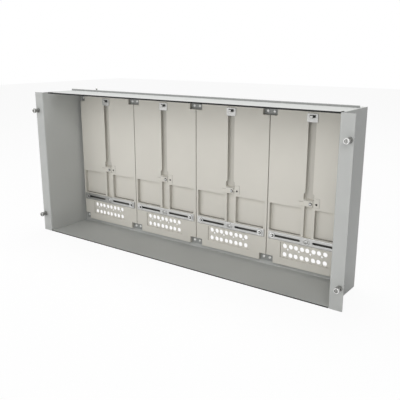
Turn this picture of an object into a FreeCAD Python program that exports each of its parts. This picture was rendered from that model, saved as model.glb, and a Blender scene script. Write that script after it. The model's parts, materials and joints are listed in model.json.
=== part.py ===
import FreeCAD, Part
import os

from FreeCAD import Vector

# Electric meter box: an open-front sheet-steel case that drops into a rack frame, is held there by four
# captive screws in its front flanges, and carries four moulded meter boards side by side as its back.
# Sizes are millimetres. X runs along the width, Y from the front flanges back into the case, Z up.

# Case
HEIGHT = 416.0
DEPTH = 146.0              # front of the flanges to the back of the rear lips
SHEET = 2.0
BEND_RADIUS = 1.5          # inside of every fold
FLANGE_WIDTH = 31.6        # inner face of the side wall to the flange's free edge
TOP_LIP = 40.0
BOTTOM_LIP = 30.0
LIP_CORNER_GAP = 0.5       # between a side lip and the top or bottom lip
RIB_FROM_BACK = 38.0       # standing fold across the top plate
RIB_HEIGHT = 5.0
RIB_END_GAP = 3.0
RELIEF_WIDTH = 7.0         # gap beside the right wall at the top plate's front corner
RELIEF_LENGTH = 34.0       # depth of the cut-away front left corner of the top plate
SEAL_DEPTH = 2.0           # rubber strip on the plates' front edges
SEAL_RISE = 1.5            # top strip above the top plate
SEAL_START = 25.0          # left wall to the top strip's end
SEAL_RETURN = 20.0         # top strip's run back along the right wall
EARTH_STUD_RADIUS = 2.5
EARTH_STUD_HEIGHT = 10.0
EARTH_STUD_CHAMFER = 0.75
EARTH_STUD_FROM_WALL = 92.0
EARTH_STUD_FROM_BACK = 21.0

# Captive screws in the flanges
CAPTIVE_FROM_EDGE = 9.1    # flange's free edge to the screw's axis
CAPTIVE_FROM_END = 52.0    # top or bottom edge to the screw's axis
CAPTIVE_RADIUS = 3.0       # thread
CAPTIVE_REACH = 17.5       # front of the flange to the front of the head
CAPTIVE_HEAD_RADIUS = 6.7
CAPTIVE_HEAD = 5.5
CAPTIVE_SLOT_HALF = 5.4    # half the length of the screwdriver slot
CAPTIVE_NECK_RADIUS = 4.6
CAPTIVE_WAIST_RADIUS = 2.4 # thinner than the thread, which passes the sleeve's tapped bore
CAPTIVE_TAIL = 20.0        # stands out behind the flange
SLEEVE_RADIUS = 6.7
SLEEVE_HEIGHT = 5.5
SLEEVE_STEM_RADIUS = 5.0
RING_RADIUS = 5.5
RING_THICK = 1.2
RING_TO_THREAD = 1.0

# Meter boards
BOARD_COUNT = 4
BOARD_PITCH = 220.5
BOARD_GAP = 1.4
BOARD_SIDE_ROOM = 9.0      # outer end of the row of boards to the side wall
BOARD_END_ROOM = 13.5      # top and bottom of the case to the boards
BOARD_THICK = 10.6         # front face to the rear edge that sits on the lips
BOARD_WALL = 2.4
BOARD_ROUND = 1.6
NOTCH_WIDTH = 19.0
NOTCH_HEIGHT = 18.5
EAR_THICK = 2.0
CLAMP_THICK = 1.6
BOARD_SCREW_FROM_JOINT = 8.6
BOARD_SCREW_RADIUS = 2.0
BOARD_SCREW_HEAD_RADIUS = 3.6
BOARD_SCREW_HEAD = 2.4

# Hanger groove, its insertion pocket and the channel below it
GROOVE_WIDTH = 19.0
GROOVE_CAVITY = 25.0
GROOVE_LIP = 3.0
GROOVE_TOP_ROOM = 8.5      # top of the groove to the top of the board
KEY_WIDTH = 27.0
KEY_ABOVE_LATCH = 1.5
KEY_HEIGHT = 13.0
KEY_FLARE = 3.5
CHANNEL_WIDTH = 20.5
CHANNEL_RISE = 5.5         # top of the pockets to the top of the channel
RIB_THICK = 6.9

# Pockets each side of the channel
POCKET_HEIGHT = 70.0
POCKET_ABOVE_RAIL = 1.9
POCKET_DEPTH = 9.8
POCKET_CORNER = 2.0
RIM_LEFT = 6.0
RIM_RIGHT = 9.2
TRAY_TO_LIP = 1.3          # outermost pocket's moulded wall to the case's side lip

# Meter rail
RAIL_END_GAP = 13.0        # between the rails of neighbouring boards
RAIL_HEIGHT = 20.0
RAIL_ABOVE_FIELD = 4.8
RAIL_STEEL = 1.5
RAIL_STAND_OFF = 3.2       # board face to the rail's front
SLOT_INNER_END = 16.4      # rail's centre to the slot's near end
SLOT_END_WEB = 4.25        # slot's far end to the rail's end
BOSS_RADIUS = 8.5
BOSS_HEIGHT = 1.6
BOSS_BORE_GAP = 0.9        # round the centre screw's head, which sits down in the boss
PILLAR_RADIUS = 6.0
NUT_ROOM = 13.0            # height of the trough behind the rail
TROUGH_DEPTH = 8.0
CENTRE_SCREW_RADIUS = 2.0
CENTRE_SCREW_HEAD_RADIUS = 4.6
CENTRE_SCREW_HEAD = 2.2
CENTRE_SCREW_LENGTH = 8.0

# Sliding rail screws and their square nuts
RAIL_SCREW_PARK_ROOM = 7.5  # slot's far end to the parked screw's axis
RAIL_SCREW_RADIUS = 2.45
RAIL_SCREW_WASHER_RADIUS = 7.2
RAIL_SCREW_WASHER = 1.0
RAIL_SCREW_HEAD_RADIUS = 4.3
RAIL_SCREW_HEAD = 3.4
RAIL_SCREW_LENGTH = 7.6
RAIL_NUT_WIDTH = 9.0
RAIL_NUT_THICK = 3.0

# Cable entry plate in the foot of the board
FIELD_CENTRE = -5.0        # board's centre to the plate's centre
FIELD_ABOVE_FOOT = 20.7    # foot of the board to the plate
FIELD_SIDE_MARGIN = 5.15   # outermost hole's rim to the plate's end
FIELD_FOOT_MARGIN = 2.45
FIELD_TOP_MARGIN = 2.65
FIELD_RECESS = 1.5
FIELD_PLATE = 2.4
FIELD_LEDGE = 2.0
PAIR_COUNT = 4
PAIR_PITCH = 30.3
PAIR_SPACING = 16.3
CABLE_RADIUS = 5.75
CABLE_ROW_PITCH = 22.0
PILOT_RADIUS = 2.5
PILOT_ABOVE_ROW = 14.4     # lower row of cable holes to the small holes

# Hanger clip and its guide in the groove
CLIP_WIDTH = 27.0
CLIP_HEIGHT = 20.0
CLIP_STEEL = 1.5
CLIP_BELOW_GROOVE_TOP = 9.0
WINDOW_WIDTH = 15.0
WINDOW_HEIGHT = 5.5
WINDOW_TOP_MARGIN = 3.5
HOOK_WIDTH = 7.0
HOOK_REACH = 7.5
HOOK_RISE = 4.5
GUIDE_HEIGHT = 13.0

# Latch block below the groove
LATCH_ABOVE_CHANNEL = 1.0
LATCH_HEIGHT = 14.5
LATCH_HALF_WIDTH = 12.0
LATCH_THICK = 3.0
LATCH_ARM_THICK = 2.4
LATCH_ARM_END = 25.0       # board's centre to the end of the left arm
LATCH_ARM_HEIGHT = 10.0
LATCH_TAB_THICK = 1.0
LATCH_TAB_END = 28.0       # board's centre to the end of the right tab
LATCH_LUG_START = 15.0
LATCH_LUG_HEIGHT = 22.0
LATCH_SCREW_X = 6.0
LATCH_SCREW_RADIUS = 1.75
LATCH_SCREW_HEAD_RADIUS = 4.0
LATCH_SCREW_HEAD = 3.2
LATCH_SCREW_LENGTH = 7.0
LATCH_BOSS_RADIUS = 4.0
SEAL_HOLE_X = 20.5
SEAL_HOLE_RADIUS = 2.6
SEAL_HOLE_DEPTH = 7.0

# Fits
SLIDE_GAP = 0.3            # all round a sliding or turning piece
RUNNING_GAP = 0.05         # radial, captive screw in its sleeve
SCREW_GAP = 0.02           # radial, a fixed screw or stem in its hole
LOOSE_GAP = 0.5            # round a plate that sits in a recess
DRIVE_WIDTH = 1.4          # screwdriver slots
DRIVE_DEPTH = 1.3
HEAD_ROUNDING = 0.35       # rounding of a pan head's rim, as a share of the head's height
FOLD_ROUNDING = 0.9        # outside rounding of a tight fold, as a share of the sheet
TIP_ROOM = 1.0             # left under a screw's tip in a blind hole
PAST = 1.0                 # how far a cut runs past the face that it starts from

# Places worked out from the sizes above
LIP_FACE = DEPTH - SHEET
RIB_FRONT = DEPTH - RIB_FROM_BACK
BOARD_FRONT = LIP_FACE - BOARD_THICK
BOARD_BOTTOM = BOARD_END_ROOM
BOARD_TOP = HEIGHT - BOARD_END_ROOM
BOARD_HALF = (BOARD_PITCH - BOARD_GAP) / 2
BOARD_CENTRES = [(i - (BOARD_COUNT - 1) / 2) * BOARD_PITCH for i in range(BOARD_COUNT)]
EAR_FRONT = LIP_FACE - EAR_THICK
CLAMP_FRONT = EAR_FRONT - CLAMP_THICK

WALL_X = BOARD_COUNT * BOARD_PITCH / 2 + BOARD_SIDE_ROOM
SIDE_LIP = BOARD_SIDE_ROOM + BOARD_GAP / 2 + min(RIM_LEFT, RIM_RIGHT) - BOARD_WALL - TRAY_TO_LIP
EARTH_STUD_X = EARTH_STUD_FROM_WALL - WALL_X
CAPTIVE_X = WALL_X + FLANGE_WIDTH - CAPTIVE_FROM_EDGE
CAPTIVE_ENDS = {"bottom": CAPTIVE_FROM_END, "top": HEIGHT - CAPTIVE_FROM_END}
SIDES = {"left": -1, "right": 1}

FIELD_WIDTH = (PAIR_COUNT - 1) * PAIR_PITCH + PAIR_SPACING + 2 * (CABLE_RADIUS + FIELD_SIDE_MARGIN)
FIELD_BOTTOM = BOARD_BOTTOM + FIELD_ABOVE_FOOT
CABLE_LOWER_Z = FIELD_BOTTOM + FIELD_FOOT_MARGIN + CABLE_RADIUS
CABLE_UPPER_Z = CABLE_LOWER_Z + CABLE_ROW_PITCH
PILOT_Z = CABLE_LOWER_Z + PILOT_ABOVE_ROW
FIELD_TOP = CABLE_UPPER_Z + CABLE_RADIUS + FIELD_TOP_MARGIN
FIELD_FRONT = BOARD_FRONT + FIELD_RECESS

RAIL_Z = FIELD_TOP + RAIL_ABOVE_FIELD + RAIL_HEIGHT / 2
RAIL_LENGTH = BOARD_PITCH - RAIL_END_GAP
RAIL_FRONT = BOARD_FRONT - RAIL_STAND_OFF
RAIL_BACK = RAIL_FRONT + RAIL_STEEL
SLOT_HEIGHT = 2 * (RAIL_SCREW_RADIUS + SLIDE_GAP)
SLOT_OUTER_END = RAIL_LENGTH / 2 - SLOT_END_WEB
RAIL_SCREW_PARK = SLOT_OUTER_END - RAIL_SCREW_PARK_ROOM

POCKET_BOTTOM = RAIL_Z + RAIL_HEIGHT / 2 + POCKET_ABOVE_RAIL
POCKET_TOP = POCKET_BOTTOM + POCKET_HEIGHT
CHANNEL_TOP = POCKET_TOP + CHANNEL_RISE
LATCH_BOTTOM = CHANNEL_TOP + LATCH_ABOVE_CHANNEL
LATCH_FRONT = BOARD_FRONT - LATCH_THICK
LATCH_SCREW_Z = LATCH_BOTTOM + LATCH_HEIGHT / 2
KEY_BOTTOM = LATCH_BOTTOM + LATCH_HEIGHT + KEY_ABOVE_LATCH
GROOVE_DEPTH = BOARD_THICK - BOARD_WALL
GROOVE_TOP = BOARD_TOP - GROOVE_TOP_ROOM
CLIP_Z = GROOVE_TOP - CLIP_BELOW_GROOVE_TOP
CLIP_BACK = BOARD_FRONT - SLIDE_GAP
CLIP_FRONT = CLIP_BACK - CLIP_STEEL

# The part's own origin lies under the middle of its overall depth.
FRAME_SHIFT = Vector(0, (CAPTIVE_REACH - DEPTH) / 2, 0)

X_AXIS = Vector(1, 0, 0)
Y_AXIS = Vector(0, 1, 0)
Z_AXIS = Vector(0, 0, 1)


def box(x0, x1, y0, y1, z0, z1):
    return Part.makeBox(x1 - x0, y1 - y0, z1 - z0, Vector(x0, y0, z0))


def rod(x, z, radius, y0, y1):
    return Part.makeCylinder(radius, y1 - y0, Vector(x, y0, z), Y_AXIS)


def fused(shapes):
    return shapes[0].multiFuse(shapes[1:]).removeSplitter()


def moved(shape, x=0.0, z=0.0):
    copy = shape.copy()
    copy.translate(Vector(x, 0, z))
    return copy


def mirrored(shape):
    return shape.mirror(Vector(0, 0, 0), X_AXIS)


def straight_edges(solid, axis, **place):
    """Straight edges along an axis whose middle lies at the given coordinates."""
    found = []
    for edge in solid.Edges:
        run = edge.Vertexes[-1].Point - edge.Vertexes[0].Point
        if run.Length < 1e-6 or abs(run.normalize().dot(axis)) < 0.999:
            continue
        middle = edge.CenterOfMass
        if all(abs(getattr(middle, name) - value) < 1e-3 for name, value in place.items()):
            found.append(edge)
    return found


def folded(solid, axis, outside, inside):
    """Round a fold: the outside edge by the bend radius and the sheet, the inside edge by the bend radius."""
    solid = solid.makeFillet(BEND_RADIUS + SHEET, straight_edges(solid, axis, **outside))
    return solid.makeFillet(BEND_RADIUS, straight_edges(solid, axis, **inside))


def slot_prism(x0, x1, z, height, y0, y1):
    """A round-ended slot along X, cut through in Y."""
    radius = height / 2
    middle = box(x0 + radius, x1 - radius, y0, y1, z - radius, z + radius)
    return fused([middle, rod(x0 + radius, z, radius, y0, y1), rod(x1 - radius, z, radius, y0, y1)])


def round_corner_box(x0, x1, y0, y1, z0, z1, radius):
    block = box(x0, x1, y0, y1, z0, z1)
    return block.makeFillet(radius, straight_edges(block, Y_AXIS))


def slotted_head(head, x, z, front, radius):
    """Cut an upright screwdriver slot in a head that faces the front."""
    slot = box(x - DRIVE_WIDTH / 2, x + DRIVE_WIDTH / 2, front, front + DRIVE_DEPTH, z - radius, z + radius)
    return head.cut(slot)


def pan_screw(x, z, seat, head_radius, head, radius, tip):
    """A slotted pan-head screw: its head stands in front of the seat and its shank runs back to the tip."""
    crown = rod(x, z, head_radius, seat - head, seat)
    front_edges = [edge for edge in crown.Edges if abs(edge.CenterOfMass.y - (seat - head)) < 1e-6]
    crown = crown.makeFillet(head * HEAD_ROUNDING, front_edges)
    crown = slotted_head(crown, x, z, seat - head, head_radius)
    return fused([crown, rod(x, z, radius, seat, tip)])


def board_corners():
    """The four corners of a board: side, end, and the outline of the notch there."""
    for side in (-1, 1):
        for end in (-1, 1):
            edge_x = side * BOARD_HALF
            inner_x = side * (BOARD_HALF - NOTCH_WIDTH)
            edge_z = BOARD_TOP if end > 0 else BOARD_BOTTOM
            inner_z = edge_z - end * NOTCH_HEIGHT
            yield side, end, sorted((edge_x, inner_x)), sorted((edge_z, inner_z))


def corner_screw_places():
    """Axes of the screws in one board's corners."""
    for side, end, xs, zs in board_corners():
        yield side * (BOARD_PITCH / 2 - BOARD_SCREW_FROM_JOINT), sum(zs) / 2


def board_screw_places():
    for centre in BOARD_CENTRES:
        for x, z in corner_screw_places():
            yield centre + x, z


# Case

def side_panel():
    """Right-hand side: wall, front flange folded outwards and rear lip folded inwards, from one sheet."""
    wall = box(WALL_X, WALL_X + SHEET, 0, DEPTH, 0, HEIGHT)
    flange = box(WALL_X, WALL_X + FLANGE_WIDTH, 0, SHEET, 0, HEIGHT)
    lip = box(WALL_X - SIDE_LIP, WALL_X + SHEET, LIP_FACE, DEPTH,
              BOTTOM_LIP + LIP_CORNER_GAP, HEIGHT - TOP_LIP - LIP_CORNER_GAP)
    panel = fused([wall, flange, lip])
    panel = folded(panel, Z_AXIS, {"x": WALL_X, "y": 0}, {"x": WALL_X + SHEET, "y": SHEET})
    panel = folded(panel, Z_AXIS, {"x": WALL_X + SHEET, "y": DEPTH}, {"x": WALL_X, "y": LIP_FACE})
    for z in CAPTIVE_ENDS.values():
        panel = panel.cut(rod(CAPTIVE_X, z, SLEEVE_STEM_RADIUS + SCREW_GAP, -PAST, SHEET + PAST))
    return panel


def drill_lip(plate):
    for x, z in board_screw_places():
        plate = plate.cut(rod(x, z, BOARD_SCREW_RADIUS + SCREW_GAP, LIP_FACE - PAST, DEPTH + PAST))
    return plate


def bottom_plate():
    floor = box(-WALL_X, WALL_X, SEAL_DEPTH, DEPTH, 0, SHEET)
    lip = box(-WALL_X, WALL_X, LIP_FACE, DEPTH, 0, BOTTOM_LIP)
    plate = folded(fused([floor, lip]), X_AXIS, {"y": DEPTH, "z": 0}, {"y": LIP_FACE, "z": SHEET})
    return drill_lip(plate)


def top_plate():
    """Top with its rear lip folded down and a standing fold across it, cut back at the front corners."""
    roof = box(-WALL_X, WALL_X, SEAL_DEPTH, DEPTH, HEIGHT - SHEET, HEIGHT)
    lip = box(-WALL_X, WALL_X, LIP_FACE, DEPTH, HEIGHT - TOP_LIP, HEIGHT)
    plate = folded(fused([roof, lip]), X_AXIS, {"y": DEPTH, "z": HEIGHT},
                   {"y": LIP_FACE, "z": HEIGHT - SHEET})
    rib_back = RIB_FRONT + 2 * SHEET
    rib = box(-WALL_X + RIB_END_GAP, WALL_X - RIB_END_GAP, RIB_FRONT, rib_back, HEIGHT - SHEET,
              HEIGHT + RIB_HEIGHT)
    crest = straight_edges(rib, X_AXIS, z=HEIGHT + RIB_HEIGHT)
    plate = fused([plate, rib.makeFillet(SHEET * FOLD_ROUNDING, crest)])
    for x0, x1, length in ((-WALL_X, -WALL_X + SEAL_START, SEAL_DEPTH + RELIEF_LENGTH),
                           (WALL_X - RELIEF_WIDTH, WALL_X, SEAL_RETURN + LOOSE_GAP)):
        plate = plate.cut(box(x0, x1, 0, length, HEIGHT - SHEET - PAST, HEIGHT + PAST))
    return drill_lip(plate)


def edge_seals():
    """Rubber strips on the front edges of the plates; the top one turns back along the right wall."""
    low = HEIGHT - SHEET
    high = HEIGHT + SEAL_RISE
    top = fused([box(-WALL_X + SEAL_START, WALL_X, 0, SEAL_DEPTH, low, high),
                 box(WALL_X - SEAL_DEPTH, WALL_X, 0, SEAL_RETURN, low, high)])
    bottom = box(-WALL_X, WALL_X, 0, SEAL_DEPTH, 0, SHEET)
    return Part.makeCompound([top, bottom])


def earth_stud():
    stud = Part.makeCylinder(EARTH_STUD_RADIUS, EARTH_STUD_HEIGHT,
                             Vector(EARTH_STUD_X, DEPTH - EARTH_STUD_FROM_BACK, HEIGHT), Z_AXIS)
    top_edge = [edge for edge in stud.Edges if edge.CenterOfMass.z > HEIGHT + EARTH_STUD_HEIGHT - 1e-6]
    return stud.makeChamfer(EARTH_STUD_CHAMFER, top_edge)


# Captive screws

def captive_screw(x, z):
    """Slotted head and neck before the sleeve, thin waist in sleeve and ring, and thread behind them."""
    head_back = CAPTIVE_HEAD - CAPTIVE_REACH
    neck_back = -SLEEVE_HEIGHT - SLIDE_GAP
    thread_front = SHEET + SLIDE_GAP + RING_THICK + RING_TO_THREAD
    head = rod(x, z, CAPTIVE_HEAD_RADIUS, -CAPTIVE_REACH, head_back)
    head = slotted_head(head, x, z, -CAPTIVE_REACH, CAPTIVE_SLOT_HALF)
    neck = rod(x, z, CAPTIVE_NECK_RADIUS, head_back, neck_back)
    waist = rod(x, z, CAPTIVE_WAIST_RADIUS, neck_back, thread_front)
    thread = rod(x, z, CAPTIVE_RADIUS, thread_front, SHEET + CAPTIVE_TAIL)
    return fused([head, neck, waist, thread])


def captive_sleeve(x, z):
    """Bush on the flange's front face, with its stem in the flange."""
    collar = rod(x, z, SLEEVE_RADIUS, -SLEEVE_HEIGHT, 0)
    stem = rod(x, z, SLEEVE_STEM_RADIUS, 0, SHEET)
    bore = rod(x, z, CAPTIVE_WAIST_RADIUS + RUNNING_GAP, -SLEEVE_HEIGHT - PAST, SHEET + PAST)
    return fused([collar, stem]).cut(bore)


def captive_ring(x, z):
    """Ring snapped on the waist behind the flange, which keeps the screw in its sleeve."""
    front = SHEET + SLIDE_GAP
    ring = rod(x, z, RING_RADIUS, front, front + RING_THICK)
    return ring.cut(rod(x, z, CAPTIVE_WAIST_RADIUS + SCREW_GAP, front - PAST, front + RING_THICK + PAST))


# Meter board

def board_body():
    """Moulded front with a skirt behind it; the corners step back to thin ears on the lips."""
    block = box(-BOARD_HALF, BOARD_HALF, BOARD_FRONT, LIP_FACE, BOARD_BOTTOM, BOARD_TOP)
    rim = [edge for edge in block.Edges if abs(edge.CenterOfMass.y - BOARD_FRONT) < 1e-6]
    block = block.makeFillet(BOARD_ROUND, rim)
    hollow = box(-BOARD_HALF + BOARD_WALL, BOARD_HALF - BOARD_WALL, BOARD_FRONT + BOARD_WALL, LIP_FACE + PAST,
                 BOARD_BOTTOM + BOARD_WALL, BOARD_TOP - BOARD_WALL)
    for side, end, xs, zs in board_corners():
        block = block.cut(box(xs[0], xs[1], BOARD_FRONT - PAST, EAR_FRONT, zs[0], zs[1]))
        hollow = hollow.cut(box(xs[0] - BOARD_WALL, xs[1] + BOARD_WALL, BOARD_FRONT, LIP_FACE + PAST,
                                zs[0] - BOARD_WALL, zs[1] + BOARD_WALL))
    return block.cut(hollow)


def tray(x0, x1, z0, z1, depth):
    """The moulded walls round a hollow in the board's front."""
    return box(x0 - BOARD_WALL, x1 + BOARD_WALL, BOARD_FRONT + BOARD_ROUND, BOARD_FRONT + depth + BOARD_WALL,
               z0 - BOARD_WALL, z1 + BOARD_WALL)


def pocket_spans():
    rib_outer = CHANNEL_WIDTH / 2 + RIB_THICK
    return [(-BOARD_HALF + RIM_LEFT, -rib_outer), (rib_outer, BOARD_HALF - RIM_RIGHT)]


def groove_cut():
    """Undercut groove for the hanger's guide, open at its foot in a wider insertion pocket."""
    cavity_front = BOARD_FRONT + GROOVE_LIP
    back = BOARD_FRONT + GROOVE_DEPTH
    mouth = BOARD_FRONT - PAST
    key_top = KEY_BOTTOM + KEY_HEIGHT
    slot = box(-GROOVE_WIDTH / 2, GROOVE_WIDTH / 2, mouth, back, KEY_BOTTOM, GROOVE_TOP)
    cavity = box(-GROOVE_CAVITY / 2, GROOVE_CAVITY / 2, cavity_front, back, KEY_BOTTOM, GROOVE_TOP)
    half_key = KEY_WIDTH / 2
    outline = [(-half_key, KEY_BOTTOM), (half_key, KEY_BOTTOM), (half_key, key_top),
               (GROOVE_WIDTH / 2, key_top + KEY_FLARE), (-GROOVE_WIDTH / 2, key_top + KEY_FLARE),
               (-half_key, key_top)]
    points = [Vector(x, mouth, z) for x, z in outline]
    key = Part.Face(Part.makePolygon(points + points[:1])).extrude(Vector(0, back - mouth, 0))
    return fused([slot, cavity, key])


def field_span():
    half = FIELD_WIDTH / 2
    return FIELD_CENTRE - half, FIELD_CENTRE + half, FIELD_BOTTOM, FIELD_TOP


def meter_board():
    mouth = BOARD_FRONT - PAST
    trough = (-RAIL_LENGTH / 2 + RAIL_STEEL, RAIL_LENGTH / 2 - RAIL_STEEL, RAIL_Z - NUT_ROOM / 2,
              RAIL_Z + NUT_ROOM / 2)
    channel = (-CHANNEL_WIDTH / 2, CHANNEL_WIDTH / 2, trough[3] + BOARD_WALL, CHANNEL_TOP)
    groove = (-KEY_WIDTH / 2, KEY_WIDTH / 2, KEY_BOTTOM, GROOVE_TOP)
    f0, f1, f2, f3 = field_span()
    seat = (f0 - LOOSE_GAP, f1 + LOOSE_GAP, f2 - LOOSE_GAP, f3 + LOOSE_GAP)
    window = (f0 + FIELD_LEDGE, f1 - FIELD_LEDGE, f2 + FIELD_LEDGE, f3 - FIELD_LEDGE)
    seat_depth = FIELD_RECESS + FIELD_PLATE

    walls = [board_body(), tray(*trough, TROUGH_DEPTH), tray(*channel, GROOVE_DEPTH),
             tray(*groove, GROOVE_DEPTH), tray(*seat, seat_depth)]
    hollows = [box(trough[0], trough[1], mouth, BOARD_FRONT + TROUGH_DEPTH, trough[2], trough[3]),
               round_corner_box(channel[0], channel[1], mouth, BOARD_FRONT + GROOVE_DEPTH, channel[2],
                                channel[3], POCKET_CORNER),
               groove_cut(),
               box(seat[0], seat[1], mouth, BOARD_FRONT + seat_depth, seat[2], seat[3]),
               box(window[0], window[1], mouth, LIP_FACE + PAST, window[2], window[3])]
    for x0, x1 in pocket_spans():
        walls.append(tray(x0, x1, POCKET_BOTTOM, POCKET_TOP, POCKET_DEPTH))
        hollows.append(round_corner_box(x0, x1, mouth, BOARD_FRONT + POCKET_DEPTH, POCKET_BOTTOM, POCKET_TOP,
                                        POCKET_CORNER))
    for x, radius in ((LATCH_SCREW_X, LATCH_BOSS_RADIUS), (SEAL_HOLE_X, SEAL_HOLE_RADIUS + BOARD_WALL)):
        walls.append(rod(x, LATCH_SCREW_Z, radius, BOARD_FRONT + BOARD_ROUND, LIP_FACE))

    board = fused(walls)
    for hollow in hollows:
        board = board.cut(hollow)
    pillar = rod(0, RAIL_Z, PILLAR_RADIUS, RAIL_BACK, BOARD_FRONT + TROUGH_DEPTH + BOARD_WALL)
    board = fused([board, pillar])
    holes = [rod(0, RAIL_Z, CENTRE_SCREW_RADIUS + SCREW_GAP, RAIL_FRONT,
                 RAIL_FRONT + CENTRE_SCREW_LENGTH + TIP_ROOM),
             rod(LATCH_SCREW_X, LATCH_SCREW_Z, LATCH_SCREW_RADIUS + SCREW_GAP, mouth,
                 LATCH_FRONT + LATCH_SCREW_LENGTH + TIP_ROOM),
             rod(SEAL_HOLE_X, LATCH_SCREW_Z, SEAL_HOLE_RADIUS, mouth, BOARD_FRONT + SEAL_HOLE_DEPTH)]
    for x, z in corner_screw_places():
        holes.append(rod(x, z, BOARD_SCREW_RADIUS + SCREW_GAP, EAR_FRONT - PAST, LIP_FACE + PAST))
    for hole in holes:
        board = board.cut(hole)
    return board


def cable_places():
    """Pair centres along the cable entry plate."""
    return [FIELD_CENTRE + (i - (PAIR_COUNT - 1) / 2) * PAIR_PITCH for i in range(PAIR_COUNT)]


def cable_entry_plate():
    """Plate in the board's foot with two rows of cable holes and a small hole at each pair."""
    x0, x1, z0, z1 = field_span()
    back = FIELD_FRONT + FIELD_PLATE
    plate = box(x0, x1, FIELD_FRONT, back, z0, z1)
    for pair in cable_places():
        for x in (pair - PAIR_SPACING / 2, pair + PAIR_SPACING / 2):
            for z in (CABLE_LOWER_Z, CABLE_UPPER_Z):
                plate = plate.cut(rod(x, z, CABLE_RADIUS, FIELD_FRONT - PAST, back + PAST))
        plate = plate.cut(rod(pair, PILOT_Z, PILOT_RADIUS, FIELD_FRONT - PAST, back + PAST))
    return plate


def board_clamps():
    """Plates that bridge the ears of neighbouring boards, and short ones at the ends of the row."""
    joints = [(i - BOARD_COUNT / 2) * BOARD_PITCH for i in range(BOARD_COUNT + 1)]
    reach = BOARD_GAP / 2 + NOTCH_WIDTH - LOOSE_GAP
    hole_radius = BOARD_SCREW_RADIUS + SCREW_GAP
    plates = []
    for i, joint in enumerate(joints):
        x0 = joint + BOARD_GAP / 2 if i == 0 else joint - reach
        x1 = joint - BOARD_GAP / 2 if i == BOARD_COUNT else joint + reach
        for z0 in (BOARD_BOTTOM, BOARD_TOP - NOTCH_HEIGHT + LOOSE_GAP):
            plate = box(x0, x1, CLAMP_FRONT, EAR_FRONT, z0, z0 + NOTCH_HEIGHT - LOOSE_GAP)
            for x, z in board_screw_places():
                if x0 < x < x1:
                    plate = plate.cut(rod(x, z, hole_radius, CLAMP_FRONT - PAST, EAR_FRONT + PAST))
            plates.append(plate)
    return Part.makeCompound(plates)


def board_screws():
    return Part.makeCompound([pan_screw(x, z, CLAMP_FRONT, BOARD_SCREW_HEAD_RADIUS, BOARD_SCREW_HEAD,
                                        BOARD_SCREW_RADIUS, DEPTH) for x, z in board_screw_places()])


# Rail and its screws

def meter_rail():
    """Shallow steel channel across the board, slotted either side of a raised ring round the centre screw."""
    half = RAIL_LENGTH / 2
    low = RAIL_Z - RAIL_HEIGHT / 2
    high = RAIL_Z + RAIL_HEIGHT / 2
    channel = box(-half, half, RAIL_FRONT, BOARD_FRONT, low, high)
    front_edges = [edge for z in (low, high) for edge in straight_edges(channel, X_AXIS, y=RAIL_FRONT, z=z)]
    channel = channel.makeFillet(RAIL_STEEL * FOLD_ROUNDING, front_edges)
    channel = channel.cut(box(-half - PAST, half + PAST, RAIL_BACK, BOARD_FRONT + PAST, low + RAIL_STEEL,
                              high - RAIL_STEEL))
    boss_front = RAIL_FRONT - BOSS_HEIGHT
    bore_radius = CENTRE_SCREW_HEAD_RADIUS + BOSS_BORE_GAP
    rail = fused([channel, rod(0, RAIL_Z, BOSS_RADIUS, boss_front, RAIL_BACK)])
    rail = rail.cut(rod(0, RAIL_Z, bore_radius, boss_front - PAST, RAIL_FRONT))
    for side in SIDES.values():
        x0, x1 = sorted((side * SLOT_INNER_END, side * SLOT_OUTER_END))
        rail = rail.cut(slot_prism(x0, x1, RAIL_Z, SLOT_HEIGHT, RAIL_FRONT - PAST, RAIL_BACK + PAST))
    hole_radius = CENTRE_SCREW_RADIUS + SCREW_GAP
    return rail.cut(rod(0, RAIL_Z, hole_radius, RAIL_FRONT - PAST, RAIL_BACK + PAST))


def rail_screw():
    """Slotted screw with a collar under its head, loose in the rail's slot."""
    seat = RAIL_FRONT - SLIDE_GAP
    collar = rod(0, RAIL_Z, RAIL_SCREW_WASHER_RADIUS, seat - RAIL_SCREW_WASHER, seat)
    screw = pan_screw(0, RAIL_Z, seat - RAIL_SCREW_WASHER, RAIL_SCREW_HEAD_RADIUS, RAIL_SCREW_HEAD,
                      RAIL_SCREW_RADIUS, seat + RAIL_SCREW_LENGTH)
    return fused([collar, screw])


def rail_nut():
    """Square nut in the trough behind the rail."""
    front = RAIL_BACK + SLIDE_GAP
    half = RAIL_NUT_WIDTH / 2
    nut = box(-half, half, front, front + RAIL_NUT_THICK, RAIL_Z - half, RAIL_Z + half)
    return nut.cut(rod(0, RAIL_Z, RAIL_SCREW_RADIUS + SCREW_GAP, front - PAST, front + RAIL_NUT_THICK + PAST))


# Hanger

def hanger_clip():
    """Bent steel clip: a plate over the groove with a window and a hook turned out of it."""
    half = CLIP_WIDTH / 2
    low = CLIP_Z - CLIP_HEIGHT / 2
    high = CLIP_Z + CLIP_HEIGHT / 2
    window_top = high - WINDOW_TOP_MARGIN
    window_bottom = window_top - WINDOW_HEIGHT
    plate = round_corner_box(-half, half, CLIP_FRONT, CLIP_BACK, low, high, CLIP_STEEL)
    window = box(-WINDOW_WIDTH / 2, WINDOW_WIDTH / 2, CLIP_FRONT - PAST, CLIP_BACK + PAST, window_bottom,
                 window_top)
    hook_front = CLIP_FRONT - HOOK_REACH
    shelf = box(-HOOK_WIDTH / 2, HOOK_WIDTH / 2, hook_front, CLIP_FRONT, window_bottom - CLIP_STEEL,
                window_bottom)
    tip = box(-HOOK_WIDTH / 2, HOOK_WIDTH / 2, hook_front, hook_front + CLIP_STEEL,
              window_bottom - CLIP_STEEL, window_bottom + HOOK_RISE)
    hook = fused([shelf, tip])
    fold = straight_edges(hook, X_AXIS, y=hook_front, z=window_bottom - CLIP_STEEL)
    return fused([plate.cut(window), hook.makeFillet(CLIP_STEEL * FOLD_ROUNDING, fold)])


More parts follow.
